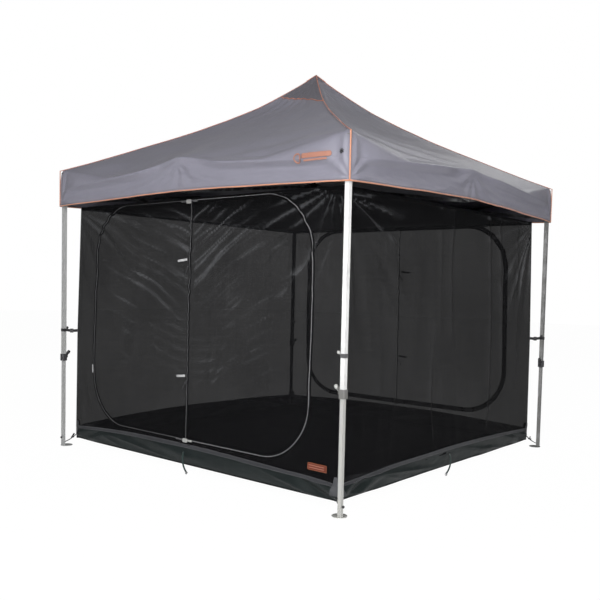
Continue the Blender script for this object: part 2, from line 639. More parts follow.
for k, side in enumerate(SIDES):
    P, uv = gore(k)
    ob = sheet(f"canopy_gore_{side}", turn(P, k), uv, CANOPY)
    ride(ob, f"roof_{side}", squash_roof(k), [f"roof_panel_{side}"])
    x_line = a_line * HALF
    X, V = np.meshgrid(x_line, v_line, indexing="xy")
    W = valance_point(X, V, k)
    uv = np.stack([X, -V * 0.28 - 2], -1)
    ob = sheet(f"canopy_valance_{side}", turn(W, k), uv, CANOPY)
    ride(ob, f"valance_{side}", squash_roof(k), [f"valance_{side}"])
    # piping along the hem
    hem = valance_point(x_line[2:-2], np.full(NA - 4, 1.0), k)
    hem[:, 2] -= 0.002
    hem[0, 0], hem[-1, 0] = -HALF, HALF
    ob = sweep(f"hem_piping_{side}", turn(hem, k), turn(np.array([0, -1.0, 0]), k), 0.0048, 0.0034, PIPING, seg=10)
    ride(ob, f"valance_{side}", squash_roof(k))
    # a stitched row above the piping
    st = valance_point(x_line[3:-3], np.full(NA - 6, 0.945), k)
    st[:, 1] -= 0.0006
    ob = sweep(f"hem_stitch_{side}", turn(st, k), turn(np.array([0, -1.0, 0]), k), 0.0011, 0.0006, CAP, seg=6)
    ride(ob, f"valance_{side}", squash_roof(k))
    # hip piping at this gore's right-hand edge (front: the front right corner)
    uu = np.linspace(0.036, HALF - 0.002, 140)
    hip = np.stack([uu, -uu, hip_z(uu) + 0.0018], -1)
    ob = sweep(f"hip_piping_{CORNERS[k]}", turn(hip, k), turn(np.array([0.5, -0.5, 1.0]), k), 0.0042, 0.0028, HIPPIPE, seg=10)
    ride(ob, f"roof_{side}", squash_roof(k))
    # a lapped seam either side of the piping
    for s, nm in ((1, "r"), (-1, "l")):
        aa = 1 - 0.018 / np.maximum(uu, 0.05)
        lap = gore_point(s * aa, uu, k, 0.0012)
        ob = sweep(f"hip_seam_{nm}_{side}", turn(lap[8:-5], k), turn(np.array([0, -0.5, 1.0]), k), 0.0013, 0.0007, CAP, seg=6)
        ride(ob, f"roof_{side}", squash_roof(k))
    # corner seam down over the truss, and on down the valance
    for part, z0, z1, body, wd in (("roof", 2.3035, CORNER_Z, f"roof_{side}", 0.0050), ("valance", CORNER_Z, 2.010, f"valance_{side}", 0.0050)):
        zz = np.linspace(z0, z1, 20)
        seam = np.stack([np.full(20, HALF + 0.001), np.full(20, -HALF - 0.001), zz], -1)
        ob = sweep(f"corner_piping_{part}_{CORNERS[k]}", turn(seam, k), turn(np.array([1.0, -1.0, 0]), k), wd, 0.0038, PIPING, seg=10)
        ride(ob, body, squash_roof(k))

# the sewn-on top panel with its piped lower edge, on the front and back gores
for k, side in ((0, "front"), (2, "back")):
    aa = np.linspace(-0.985, 0.985, 81)
    end = np.interp(aa, [-1, -0.71, -0.2, 0.365, 0.71, 0.96, 1.0], [0.212, 0.231, 0.256, 0.294, 0.346, 0.440, 0.458])
    end = np.convolve(np.concatenate([np.full(5, 2 * end[0]) - end[5:0:-1], end, np.full(5, 2 * end[-1]) - end[-2:-7:-1]]), np.hanning(13)[1:-1] / np.hanning(13)[1:-1].sum(), "valid")
    rows = []
    for s in np.linspace(0, 1, 30):
        rows.append(gore_point(aa, 0.036 + s * (end - 0.036), k, 0.0022))
    P = np.array(rows)
    uv = np.stack([P[..., 0], -P[..., 1]], -1)
    ob = sheet(f"top_panel_{side}", turn(P, k), uv, CAP)
    ride(ob, f"roof_{side}", squash_roof(k))
    edge = gore_point(aa, end, k, 0.0040)
    ob = sweep(f"top_panel_piping_{side}", turn(edge, k), turn(np.array([0, -0.6, 1.0]), k), 0.0048, 0.0030, HIPPIPE)
    ride(ob, f"roof_{side}", squash_roof(k))


# the small reinforced cap at the peak, which stays on the mast
for k, side in enumerate(SIDES):
    A, U = np.meshgrid(np.linspace(-1, 1, 25), np.linspace(0.0, 0.058, 12), indexing="xy")
    P = gore_point(A, U, k, 0.0042)
    P[..., 2] += 0.0022 * np.exp(-((U / 0.016) ** 2)) - 0.0030 * sstep((U - 0.048) / 0.010)
    ob = sheet(f"peak_cap_{side}", turn(P, k), np.stack([P[..., 0], -P[..., 1]], -1), CAP)
    ride(ob, "hub")
    edge = gore_point(np.linspace(-1, 1, 25), np.full(25, 0.052), k, 0.0048)
    ob = sweep(f"peak_cap_stitch_{side}", turn(edge, k), turn(np.array([0, -0.6, 1.0]), k), 0.0010, 0.0007, CANOPY, seg=6)
    ride(ob, "hub")
    uu = np.linspace(0.002, 0.058, 12)
    hip = np.stack([uu, -uu, hip_z(uu) + 0.0062], -1)
    ob = sweep(f"peak_cap_piping_{side}", turn(hip, k), turn(np.array([0.5, -0.5, 1.0]), k), 0.0042, 0.0028, HIPPIPE, seg=10)
    ride(ob, "hub")


# a plain printed badge and an embroidered bar on the front valance, and a small tie near the corner
GORE0 = gore(0)[0]


def on_valance(x, z, k=0, off=0.002):
    zt, zb = crease_z(np.array([x]), k)[0], hem_z(np.array([x]), k)[0]
    v = (z - zt) / (zb - zt)
    if v >= 0:
        p = valance_point(np.array([x]), np.array([v]), k)[0]
    else:
        # on the cloth that comes down over the truss: look it up in the front sheet
        j = int(np.argmin(np.abs(a_line * HALF - x)))
        col = GORE0[NU - 1:, j]
        y = np.interp(z, col[::-1, 2], col[::-1, 1])
        p = np.array([x, y, z])
    p = p.copy()
    p[1] -= off
    return p


ang = np.linspace(0, 2 * PI, 33)[:-1]
ring = np.array([on_valance(1.128 + 0.024 * math.cos(t), 2.163 + 0.027 * math.sin(t), off=0.0075) for t in ang])
ob = sweep("badge_ring", ring, (0, -1, 0), 0.0048, 0.0008, PRINT, seg=8, closed=True)
ride(ob, "roof_front", squash_roof(0))
bx = np.linspace(1.160, 1.377, 34)
for i, (z0, hw) in enumerate(((2.174, 0.0155), (2.146, 0.0060))):
    bar = np.array([on_valance(x, z0 + 0.004 * (x - 1.160), off=0.0055) for x in (bx if i == 0 else bx[2:-4])])
    ob = sweep(f"badge_bar_{i}", bar, (0, -1, 0), hw, 0.0008, PRINT, seg=12, taper=2)
    ride(ob, "roof_front", squash_roof(0))
for i in range(4):
    t = i * PI / 4 + 0.3
    p0 = on_valance(1.446 - 0.016 * math.cos(t), 2.183 - 0.016 * math.sin(t), off=0.005)
    p1 = on_valance(1.446 + 0.016 * math.cos(t), 2.183 + 0.016 * math.sin(t), off=0.005)
    s = np.linspace(0, 1, 5)[:, None]
    pts = p0 * (1 - s) + p1 * s
    pts[:, 1] -= 0.003 * np.sin(PI * s[:, 0])
    ob = sweep(f"corner_tie_{i}", pts, (0, -1, 0), 0.0022, 0.0014, WEB, seg=6)
    ride(ob, "roof_front", squash_roof(0))


# ---------------------------------------------------------------------------
# room walls
# ---------------------------------------------------------------------------
DOOR = {0: (-1.154, 1.140, 0.248, 1.990, 0.40), 2: (-1.156, 1.171, 0.259, 1.990, 0.40)}
ZIP_X = -0.016      # the door's middle zip sits a little off centre


def room_half(z):
    """The room narrows slightly towards its top."""
    return np.interp(z, [0.0, 0.98, 2.006], [1.397, 1.3925, 1.376])


def depth(x, z, k):
    """Outward push of a wall's cloth, in metres."""
    x, z = np.asarray(x, float), np.asarray(z, float)
    hold = sstep((WALL_TOP - z) / 0.05) * sstep((z - TUB) / 0.05) * sstep((ROOM - np.abs(x)) / 0.05)
    door = k in DOOR
    # wide slow billow
    d = 0.012 * noise(x * 0.9 + 5, z * 0.8, 80 + k) * hold
    wx = x + 0.10 * noise(x * 1.4, z * 1.4, 81 + k)
    wz = z + 0.06 * noise(x * 1.7, z * 1.7, 82 + k)
    if door:
        # folds that fall from both top corners to the middle zip
        cx = np.abs(wx - ZIP_X)
        slope = np.where(wx < ZIP_X, 0.40, 0.45)
        ph = wz - slope * cx**0.92
        env = sstep((z - 0.90) / 0.45) * sstep((1.96 - z) / 0.08) * sstep(cx / 0.03) * np.exp(-((cx / 0.95) ** 2))
        f = np.sin(2 * PI * ph / 0.105 + 1.6 * noise(ph * 6, cx * 1.5, 83 + k))
        f2 = ridge(ph * 9.5, cx * 1.3 + 3 * (wx > 0), 84 + k) * 1.6 - 0.7
        f3 = ridge(ph * 17.0, cx * 2.2 + 5 * (wx > 0), 184 + k) * 1.6 - 0.7
        d = d + hold * env * (0.0032 * f + 0.0046 * f2 + 0.0050 * f3)
        # fine folds over the whole door
        f4 = ridge(ph * 23.0, cx * 2.6 + 7 * (wx > 0), 284 + k) * 1.6 - 0.7
        env4 = sstep((z - 0.45) / 0.4) * sstep((1.97 - z) / 0.06) * np.exp(-((cx / 1.05) ** 4))
        d = d + hold * env4 * 0.0026 * f4
        # broad slanting folds lower down
        ph2 = wz * 0.80 + 0.60 * np.abs(wx)
        env2 = sstep((1.45 - z) / 0.4) * sstep((z - 0.30) / 0.3) * np.exp(-(((np.abs(x) - 0.60) / 0.45) ** 2))
        d = d + hold * env2 * 0.0075 * (ridge(ph2 * 4.6, wx * 0.9, 85 + k) * 1.5 - 0.6)
        # light horizontal pulls along the zip at mid height
        env3 = np.exp(-(((x - ZIP_X) / 0.42) ** 2)) * sstep((1.3 - z) / 0.3) * sstep((z - 0.55) / 0.3)
        d = d + hold * env3 * 0.0034 * np.sin(2 * PI * wz / 0.075 + 2 * noise(x * 3, z * 3, 86 + k))
    # fans that spread out of the top corners
    for s in (-1, 1):
        dx, dz = ROOM - s * wx, WALL_TOP - wz
        r, th = np.hypot(dx, dz) + 1e-6, np.arctan2(dx, dz)
        env = sstep((r - 0.04) / 0.10) * np.exp(-((r / 0.80) ** 2))
        fan = ridge(th * 6.2 + 4 * s, r * 0.9, 87 + k) * 1.7 - 0.7 + 0.5 * np.sin(th * 26 + 2.0 * noise(th * 4, r * 2, 88 + k))
        d = d + sstep((ROOM - s * x) / 0.02) * sstep((WALL_TOP - z) / 0.02) * env * 0.0100 * fan
    # soft upright folds away from the door
    env = sstep((z - TUB) / 0.2)
    if door:
        env = env * sstep((np.abs(x) - 0.95) / 0.2)
    up = ridge(wx * 5.5 + 0.25 * z, z * 0.55, 89 + k) * 1.5 - 0.6
    d = d + hold * env * 0.0070 * up
    if k == 0:
        # thin upright pulls low down beside the door
        low = ridge((wx + 0.22 * z) * 17.0, z * 1.1, 94) * 1.6 - 0.7
        d = d + hold * 0.0026 * low * sstep((x - 0.62) / 0.25) * sstep((1.0 - z) / 0.3) * sstep((z - 0.2) / 0.08)
    # the bottom gathers slightly where the mesh is sewn to the tub
    d = d + 0.0040 * ridge(wx * 9, wz * 1.2, 90 + k) * sstep((0.55 - z) / 0.4) * sstep((z - TUB) / 0.03)
    return d + 0.0014 * fbm(x * 9, z * 9, 91 + k, 2) * hold


def glint(x, z, k):
    """Where the cloth is pulled tight over a fold and its threads close up: 0 to 1."""
    e = 0.006
    gx = (depth(x + e, z, k) - depth(x - e, z, k)) / (2 * e)
    gz = (depth(x, z + e, k) - depth(x, z - e, k)) / (2 * e)
    tilt = -gz + 0.55 * gx
    share = 0.85 if k == 0 else (0.25 if k == 2 else 0.8)
    return share * sstep((tilt - 0.055) / 0.36) * (0.55 + 0.45 * noise(np.asarray(x) * 4, np.asarray(z) * 4, 92 + k))


def wall_xyz(x, z, k, off=0.0):
    x, z = np.asarray(x, float), np.asarray(z, float)
    w = room_half(z)
    return np.stack([x * w / ROOM, -w + 0.001 - depth(x, z, k) - off, z], -1)


def loop_points(x0, x1, z0, z1, r, step=0.02, grow=0.0):
    """Rounded rectangle as x, z points, anticlockwise from the middle of the bottom edge."""
    x0, x1, z0, z1, r = x0 - grow, x1 + grow, z0 - grow, z1 + grow, r + grow
    pts = []

    def line(ax, az, bx, bz):
        n = max(2, int(math.hypot(bx - ax, bz - az) / step))
        for i in range(n):
            pts.append((ax + (bx - ax) * i / n, az + (bz - az) * i / n))

    def arc(cx, cz, a0, a1):
        n = max(3, int(abs(a1 - a0) * r / step))
        for i in range(n):
            t = a0 + (a1 - a0) * i / n
            pts.append((cx + r * math.cos(t), cz + r * math.sin(t)))

    line(0, z0, x1 - r, z0)
    arc(x1 - r, z0 + r, -PI / 2, 0)
    line(x1, z0 + r, x1, z1 - r)
    arc(x1 - r, z1 - r, 0, PI / 2)
    line(x1 - r, z1, 0, z1)
    line(0, z1, x0 + r, z1)
    arc(x0 + r, z1 - r, PI / 2, PI)
    line(x0, z1 - r, x0, z0 + r)
    arc(x0 + r, z0 + r, PI, 1.5 * PI)
    line(x0 + r, z0, 0, z0)
    return np.array(pts)


def inside_loop(x, z, loop, margin=0.0):
    x0, x1, z0, z1, r = loop
    x0, x1, z0, z1 = x0 - margin, x1 + margin, z0 - margin, z1 + margin
    r = max(r + margin, 1e-3)
    cx = np.clip(x, x0 + r, x1 - r)
    cz = np.clip(z, z0 + r, z1 - r)
    return np.hypot(x - cx, z - cz) < r


STEP = 0.0145


def fill(poly, grid_mask, lo, hi):
    """Triangulates a closed x, z outline with an even grid inside."""
    gx = np.arange(lo[0] + STEP / 2, hi[0], STEP)
    gz = np.arange(lo[1] + STEP / 2, hi[1], STEP)
    X, Z = np.meshgrid(gx, gz)
    X = X + (np.arange(len(gz)) % 2)[:, None] * STEP / 2
    pts = np.stack([X.ravel(), Z.ravel()], -1)
    keep = grid_mask(pts[:, 0], pts[:, 1])
    pts = pts[keep]
    verts = [Vector((float(a), float(b))) for a, b in poly] + [Vector((float(a), float(b))) for a, b in pts]
    n = len(poly)
    out = delaunay_2d_cdt(verts, [], [list(range(n))], 1, 1e-6)
    co = np.array([(v.x, v.y) for v in out[0]])
    faces = [tuple(f) for f in out[2]]
    return co, faces


def split_line(ax, az, bx, bz, step=STEP):
    n = max(1, int(round(math.hypot(bx - ax, bz - az) / step)))
    return [(ax + (bx - ax) * i / n, az + (bz - az) * i / n) for i in range(n)]


def squash_room(k, half):
    """half: +1 the side's right end as seen from outside, -1 its left."""
    anchor = turn(np.array([half * ROOM, -ROOM, 0.0]), k)
    ax = (1, 0, 0) if k % 2 == 0 else (0, 1, 0)
    return (ax, tuple(anchor), KEEP_ROOM)


def leg_of(k, half):
    return "leg_" + (CORNERS[k] if half > 0 else CORNERS[k - 1])


def half_outline(half, loop):
    """Outline of the wall's half outside the door loop, or the whole half with no door."""
    e = half * ROOM
    z0, z1 = TUB - 0.004, WALL_TOP
    if loop is None:
        return split_line(0, z0, e, z0) + split_line(e, z0, e, z1) + split_line(e, z1, 0, z1) + split_line(0, z1, 0, z0)
    pts = loop_points(*loop, step=STEP)
    part = [p for p in pts if p[0] * half > 1e-9]
    bottom = (0.0, loop[2])
    top = (0.0, loop[3])
    # walk the loop from its top middle down to its bottom middle on this side
    part.sort(key=lambda p: math.atan2(p[1] - 1.05, abs(p[0])), reverse=True)
    edge = [top] + [tuple(p) for p in part] + [bottom]
    out = split_line(0, z0, e, z0) + split_line(e, z0, e, z1) + split_line(e, z1, 0, z1) + split_line(0, z1, 0, loop[3])
    return out + edge + split_line(0, loop[2], 0, z0)[1:]


def make_piece(name, poly, mask, k, mat):
    poly = np.array(poly)
    co, faces = fill(poly, mask, poly.min(0), poly.max(0))
    P = wall_xyz(co[:, 0], co[:, 1], k)
    ob = new_mesh(name, turn(P, k), faces, co, mat)
    shine = ob.data.attributes.new("glint", "FLOAT", "POINT")
    shine.data.foreach_set("value", np.clip(glint(co[:, 0], co[:, 1], k), 0, 1).astype(np.float32))
    return ob


for k, side in enumerate(SIDES):
    loop = DOOR.get(k)
    for half, nm in ((1, "right"), (-1, "left")):
        poly = half_outline(half, loop)

        def mask(x, z, half=half, loop=loop):
            ok = (x * half > STEP * 0.5) & (np.abs(x) < ROOM - STEP * 0.5) & (z > TUB + STEP * 0.4) & (z < WALL_TOP - STEP * 0.5)
            if loop is not None:
                ok &= ~inside_loop(x, z, loop, STEP * 0.5)
            return ok

        ob = make_piece(f"wall_{side}_{nm}", poly, mask, k, MESH)
        stands = ["room_walls"] if k == 0 and half == 1 else []
        ride(ob, leg_of(k, half), squash_room(k, half), stands)
        if loop is None:
            continue
        # the door's leaf on this half
        pts = loop_points(*loop, step=STEP, grow=-0.0015)
        part = [tuple(p) for p in pts if p[0] * half > 1e-9]
        part.sort(key=lambda p: math.atan2(p[1] - 1.05, abs(p[0])), reverse=True)
        x_in = half * 0.0015
        leaf = [(x_in, loop[3] - 0.0015)] + [p for p in part if abs(p[0]) > 0.01] + [(x_in, loop[2] + 0.0015)]
        leaf = leaf + split_line(x_in, loop[2] + 0.0015, x_in, loop[3] - 0.0015)[1:]

        def lmask(x, z, half=half, loop=loop):
            return (x * half > STEP * 0.6) & inside_loop(x, z, loop, -STEP * 0.6)

        body = f"{side}_door_{nm}"
        ob = make_piece(f"door_{side}_{nm}", leaf, lmask, k, MESH)
        ride(ob, body, squash_room(k, half), [f"{side}_door_{nm}"])
        # tapes either side of the loop zip, and the coil on the wall side
        outw = turn(np.array([0, -1.0, 0]), k)
        for grow, w, t, mat, who, tag in (
            (0.0085 if k == 0 else 0.0125, 0.0080 if k == 0 else 0.0095, 0.0010, TAPE, leg_of(k, half), "outer"),
            (-0.0085 if k == 0 else -0.0125, 0.0080 if k == 0 else 0.0095, 0.0010, TAPE, body, "inner"),
            (0.0, 0.0026, 0.0022, (COIL_L if half > 0 else COIL_M) if k == 0 else COIL_D, leg_of(k, half), "coil"),
        ):
            pts = loop_points(*loop, step=0.022, grow=grow)
            part = [tuple(p) for p in pts if p[0] * half > 1e-9]
            part.sort(key=lambda p: math.atan2(p[1] - 1.05, abs(p[0])), reverse=True)
            part = [(half * 0.001, loop[3] + grow)] + [p for p in part if abs(p[0]) > 0.012] + [(half * 0.001, loop[2] - grow)]
            part = np.array(part)
            line = wall_xyz(part[:, 0], part[:, 1], k, 0.0022 if tag == "coil" else 0.0012)
            ob = sweep(f"zip_{tag}_{side}_{nm}", turn(line, k), outw, w, t, mat, seg=10 if tag != "coil" else 8)
            ride(ob, who, squash_room(k, half))
        # the middle zip's tape on each leaf, and its coil on the left one
        zz = np.linspace(loop[2] + 0.004, loop[3] - 0.004, 110)
        line = wall_xyz(np.full(110, half * (0.0070 if k == 0 else 0.0035) - 0.006), zz, k, 0.0012)
        ob = sweep(f"mid_tape_{side}_{nm}", turn(line, k), outw, 0.0060 if k == 0 else 0.0028, 0.0010, TAPE, seg=10)
        ride(ob, body, squash_room(k, half))
        if half == -1:
            line = wall_xyz(np.full(110, -0.008), zz, k, 0.0024)
            ob = sweep(f"mid_coil_{side}", turn(line, k), outw, 0.0026 if k == 0 else 0.0016, 0.0022 if k == 0 else 0.0014, COIL_D if k == 2 else COIL_M, seg=8)
            ride(ob, body, squash_room(k, half))
    # piped top edge of each wall, one strip per half
    for half, nm in ((1, "right"), (-1, "left")):
        x = np.linspace(0.0, ROOM - 0.002, 60) * half
        line = wall_xyz(x, np.full(60, WALL_TOP - 0.012), k, 0.0012)
        ob = sweep(f"wall_top_band_{side}_{nm}", turn(line, k), turn(np.array([0, -1.0, 0]), k), 0.0120, 0.0012, TAPE, seg=10)
        ride(ob, leg_of(k, half), squash_room(k, half))

# seams down the room's four upright corners
for k, corner in enumerate(CORNERS):
    zz = np.linspace(TUB, WALL_TOP, 60)
    e = room_half(zz)
    line = np.stack([e + 0.001, -e - 0.001, zz], -1)
    ob = sweep(f"room_corner_seam_{corner}", turn(line, k), turn(np.array([1.0, -1.0, 0]), k), 0.0050, 0.0024, SEAMC, seg=8)
    ride(ob, f"leg_{corner}")

# ---------------------------------------------------------------------------
# ceiling and tub
# ---------------------------------------------------------------------------
for half, nm in ((1, "right"), (-1, "left")):
    top_w = float(room_half(WALL_TOP)) - 0.002
    xs = np.linspace(0.0, top_w, 56) * half
    ys = np.linspace(-top_w, top_w, 100)
    X, Y = np.meshgrid(xs, ys, indexing="xy")
    ex, ey = np.clip((ROOM - np.abs(X)) / ROOM, 0, 1), np.clip((ROOM - np.abs(Y)) / ROOM, 0, 1)
    sag = 0.030 * (ex * ey) ** 0.5
    hold = sstep(ex / 0.06) * sstep(ey / 0.06)
    Z = WALL_TOP - 0.001 - sag + hold * (0.006 * fbm(X * 2.2, Y * 2.2, 120, 3) + 0.004 * ridge(X * 3 + Y, Y * 3 - X, 121))
    P = np.stack([X, Y, Z], -1)
    ob = sheet(f"ceiling_sheet_{nm}", P, np.stack([X, Y], -1), CEIL, flip=half < 0)
    ride(ob, f"ceiling_{nm}", ((0, 1, 0), (0, -ROOM, 0), KEEP_ROOM), [f"ceiling_{nm}"])
    xs = np.linspace(0.0, 1.3955, 64) * half
    ys = np.linspace(-1.3955, 1.3955, 120)
    X, Y = np.meshgrid(xs, ys, indexing="xy")
    ex, ey = np.clip((ROOM - np.abs(X)) / ROOM, 0, 1), np.clip((ROOM - np.abs(Y)) / ROOM, 0, 1)
    hold = sstep(ex / 0.04) * sstep(ey / 0.04)
    edge = np.minimum(ROOM - np.abs(X), ROOM - np.abs(Y))
    Z = 0.0045 + hold * (0.004 * (1 + fbm(X * 1.9, Y * 1.9, 130, 3)) + 0.010 * ridge(X * 2.2 + 0.4 * Y, Y * 0.9, 131) ** 2)
    Z = Z + (0.0625 - 0.004 * sstep(np.minimum(ROOM - np.abs(X), 0.3) / 0.3)) * (1 - sstep(edge / 0.30)) ** 1.2
    P = np.stack([X, Y, Z], -1)
    ob = sheet(f"floor_sheet_{nm}", P, np.stack([X, Y], -1), FLOORC, flip=half < 0)
    ride(ob, f"floor_{nm}", ((0, 1, 0), (0, -ROOM, 0), KEEP_ROOM), [f"tub_floor_{nm}"])


TUB_TOPS = {0: [(-1.39, 0.170), (-1.354, 0.172), (-0.731, 0.214), (0.16, 0.218), (0.898, 0.196), (1.284, 0.183), (1.39, 0.170)],
            1: [(-1.39, 0.170), (-1.309, 0.175), (-0.755, 0.199), (0.041, 0.208), (0.8, 0.196), (1.353, 0.171), (1.39, 0.170)],
            2: [(-1.39, 0.170), (-0.75, 0.202), (0.0, 0.210), (0.8, 0.200), (1.39, 0.170)],
            3: [(-1.39, 0.170), (-0.75, 0.200), (0.1, 0.212), (0.8, 0.203), (1.39, 0.170)]}
TUB_FOOTS = {0: (0.065, 0.069, 0.060), 1: (0.065, 0.060, 0.062), 2: (0.062, 0.060, 0.062), 3: (0.062, 0.061, 0.062)}


def tub_top(x, k):
    """Upper edge of the tub's side, drawn up between its corners."""
    t = np.array(TUB_TOPS[k])
    z = sum(np.interp(np.clip(x + d, -ROOM, ROOM), t[:, 0], t[:, 1]) for d in (-0.12, 0.0, 0.12)) / 3
    hold = sstep((ROOM - np.abs(x)) / 0.10)
    return 0.170 * (1 - hold) + z * hold + 0.0025 * noise(x * 2.6, 0 * x, 140 + k) * hold


def tub_side(x, v, k):
    top = tub_top(x, k)
    f = TUB_FOOTS[k]
    foot = np.interp(x, [-ROOM, 0, ROOM], f)
    hold = sstep((ROOM - np.abs(x)) / 0.05)
    foot = 0.062 * (1 - hold) + foot * hold + 0.0035 * noise(x * 3.4, 0 * x + 2, 149 + k) * hold
    z = foot + (top - foot) * v
    w = room_half(z)
    bulge = 0.012 * np.sin(PI * np.clip(v, 0, 1)) * (0.6 + 0.4 * noise(x * 1.3, 0 * x, 141 + k))
    fold = 0.0110 * (ridge(x * 1.6 + z * 7.0, z * 9 + x, 142 + k) * 1.5 - 0.5) * np.sin(PI * np.clip(v, 0, 1)) ** 0.7
    diag = 0.0130 * np.sin((ROOM - np.abs(x)) * 22 - z * 52) * np.exp(-(((ROOM - np.abs(x) - 0.18) / 0.24) ** 2)) * np.sin(PI * np.clip(v, 0, 1)) ** 0.8
    y = -w + 0.001 - hold * (bulge + fold + diag) - 0.002 * fbm(x * 8, z * 20, 143 + k, 2) * hold * np.sin(PI * np.clip(v, 0, 1))
    # the ground sheet's lower edge rolls under a little
    y = y + hold * 0.006 * (1 - np.clip(v, 0, 1)) ** 4
    return np.stack([x * w / ROOM, y, z], -1)


for k, side in enumerate(SIDES):
    for half, nm in ((1, "right"), (-1, "left")):
        xs = np.linspace(0.0, ROOM, 140) * half
        vs = np.linspace(0, 1, 26)
        X, V = np.meshgrid(xs, vs, indexing="xy")
        P = tub_side(X, V, k)
        ob = sheet(f"tub_side_{side}_{nm}", turn(P, k), np.stack([X, V * TUB], -1), TUBC, flip=half > 0)
        ride(ob, leg_of(k, half), squash_room(k, half))
        # the paler bound band where mesh and tub are sewn together
        vb = np.linspace(0.80, 1.0, 6)
        X, V = np.meshgrid(xs, vb, indexing="xy")
        P = tub_side(X, V, k)
        P[..., 1] -= 0.0022 + 0.0010 * np.sin(PI * (V - 0.80) / 0.20)
        ob = sheet(f"tub_band_{side}_{nm}", turn(P, k), np.stack([X, V * TUB], -1), TUBBAND, flip=half > 0)
        ride(ob, leg_of(k, half), squash_room(k, half))
        for j, vv in enumerate((0.825, 0.97)):
            line = tub_side(xs, np.full_like(xs, vv), k)
            line[:, 1] -= 0.0040
            ob = sweep(f"tub_stitch_{j}_{side}_{nm}", turn(line, k), turn(np.array([0, -1.0, 0]), k), 0.0010, 0.0006, WEBGREY, seg=6)
            ride(ob, leg_of(k, half), squash_room(k, half))

# corner reinforcements, where the tub, the mesh and the pull-out strap meet
for k, corner in enumerate(CORNERS):
    for s, nm in ((0, "a"), (1, "b")):
        # a = on this side's right end, b = on the next side's left end
        kk = (k + s) % 4
        half = 1 if s == 0 else -1
        xs = np.linspace(0, 1, 12)
        vs = np.linspace(0, 1, 12)
        S, V = np.meshgrid(xs, vs, indexing="xy")
        wdt = 0.060 * (1 - V) + 0.028 * V
        X = half * (ROOM - S * wdt)
        Z = 0.095 + V * 0.120
        top = tub_top(X, kk)
        Y = np.where(Z < top, tub_side(X, np.clip((Z - 0.062) / (top - 0.062), 0, 1), kk)[..., 1], wall_xyz(X, np.maximum(Z, TUB), kk)[..., 1]) - 0.0045
        X = X * room_half(Z) / ROOM
        P = np.stack([X, Y, Z], -1)
        ob = sheet(f"corner_patch_{nm}_{corner}", turn(P, kk), np.stack([S * 0.06, V * 0.12], -1), REINF if k == 0 else TUBBAND, flip=half < 0)
        ride(ob, f"leg_{corner}")

# a plain sewn patch low on the front wall
xs, vs = np.linspace(1.152, 1.303, 24), np.linspace(0.231, 0.273, 8)
X, Z = np.meshgrid(xs, vs, indexing="xy")
P = wall_xyz(X, Z, 0, 0.0060)
ob = sheet("sewn_patch", P, np.stack([X, Z], -1), PATCHC)
ride(ob, "leg_front_right", squash_room(0, 1))
edge = [(1.152, 0.231), (1.303, 0.231), (1.303, 0.273), (1.152, 0.273)]
pts = []
for a, b in zip(edge, edge[1:] + edge[:1]):
    pts += split_line(*a, *b, step=0.012)
pts = np.array(pts)
ob = sweep("sewn_patch_edge", wall_xyz(pts[:, 0], pts[:, 1], 0, 0.0066), (0, -1, 0), 0.0022, 0.0012, PATCHEDGE, seg=8, closed=True)
ride(ob, "leg_front_right", squash_room(0, 1))
for i, z0 in enumerate((0.244, 0.259)):
    x = np.linspace(1.160, 1.284, 16)
    ob = sweep(f"sewn_patch_bar_{i}", wall_xyz(x, np.full(16, z0), 0, 0.0068), (0, -1, 0), 0.0026, 0.0008, PRINT, seg=8)
    ride(ob, "leg_front_right", squash_room(0, 1))

# ---------------------------------------------------------------------------
# small fittings on the doors
# ---------------------------------------------------------------------------


def at_wall(x, z, k, off):
    return turn(wall_xyz(np.array([x]), np.array([z]), k, off)[0], k)


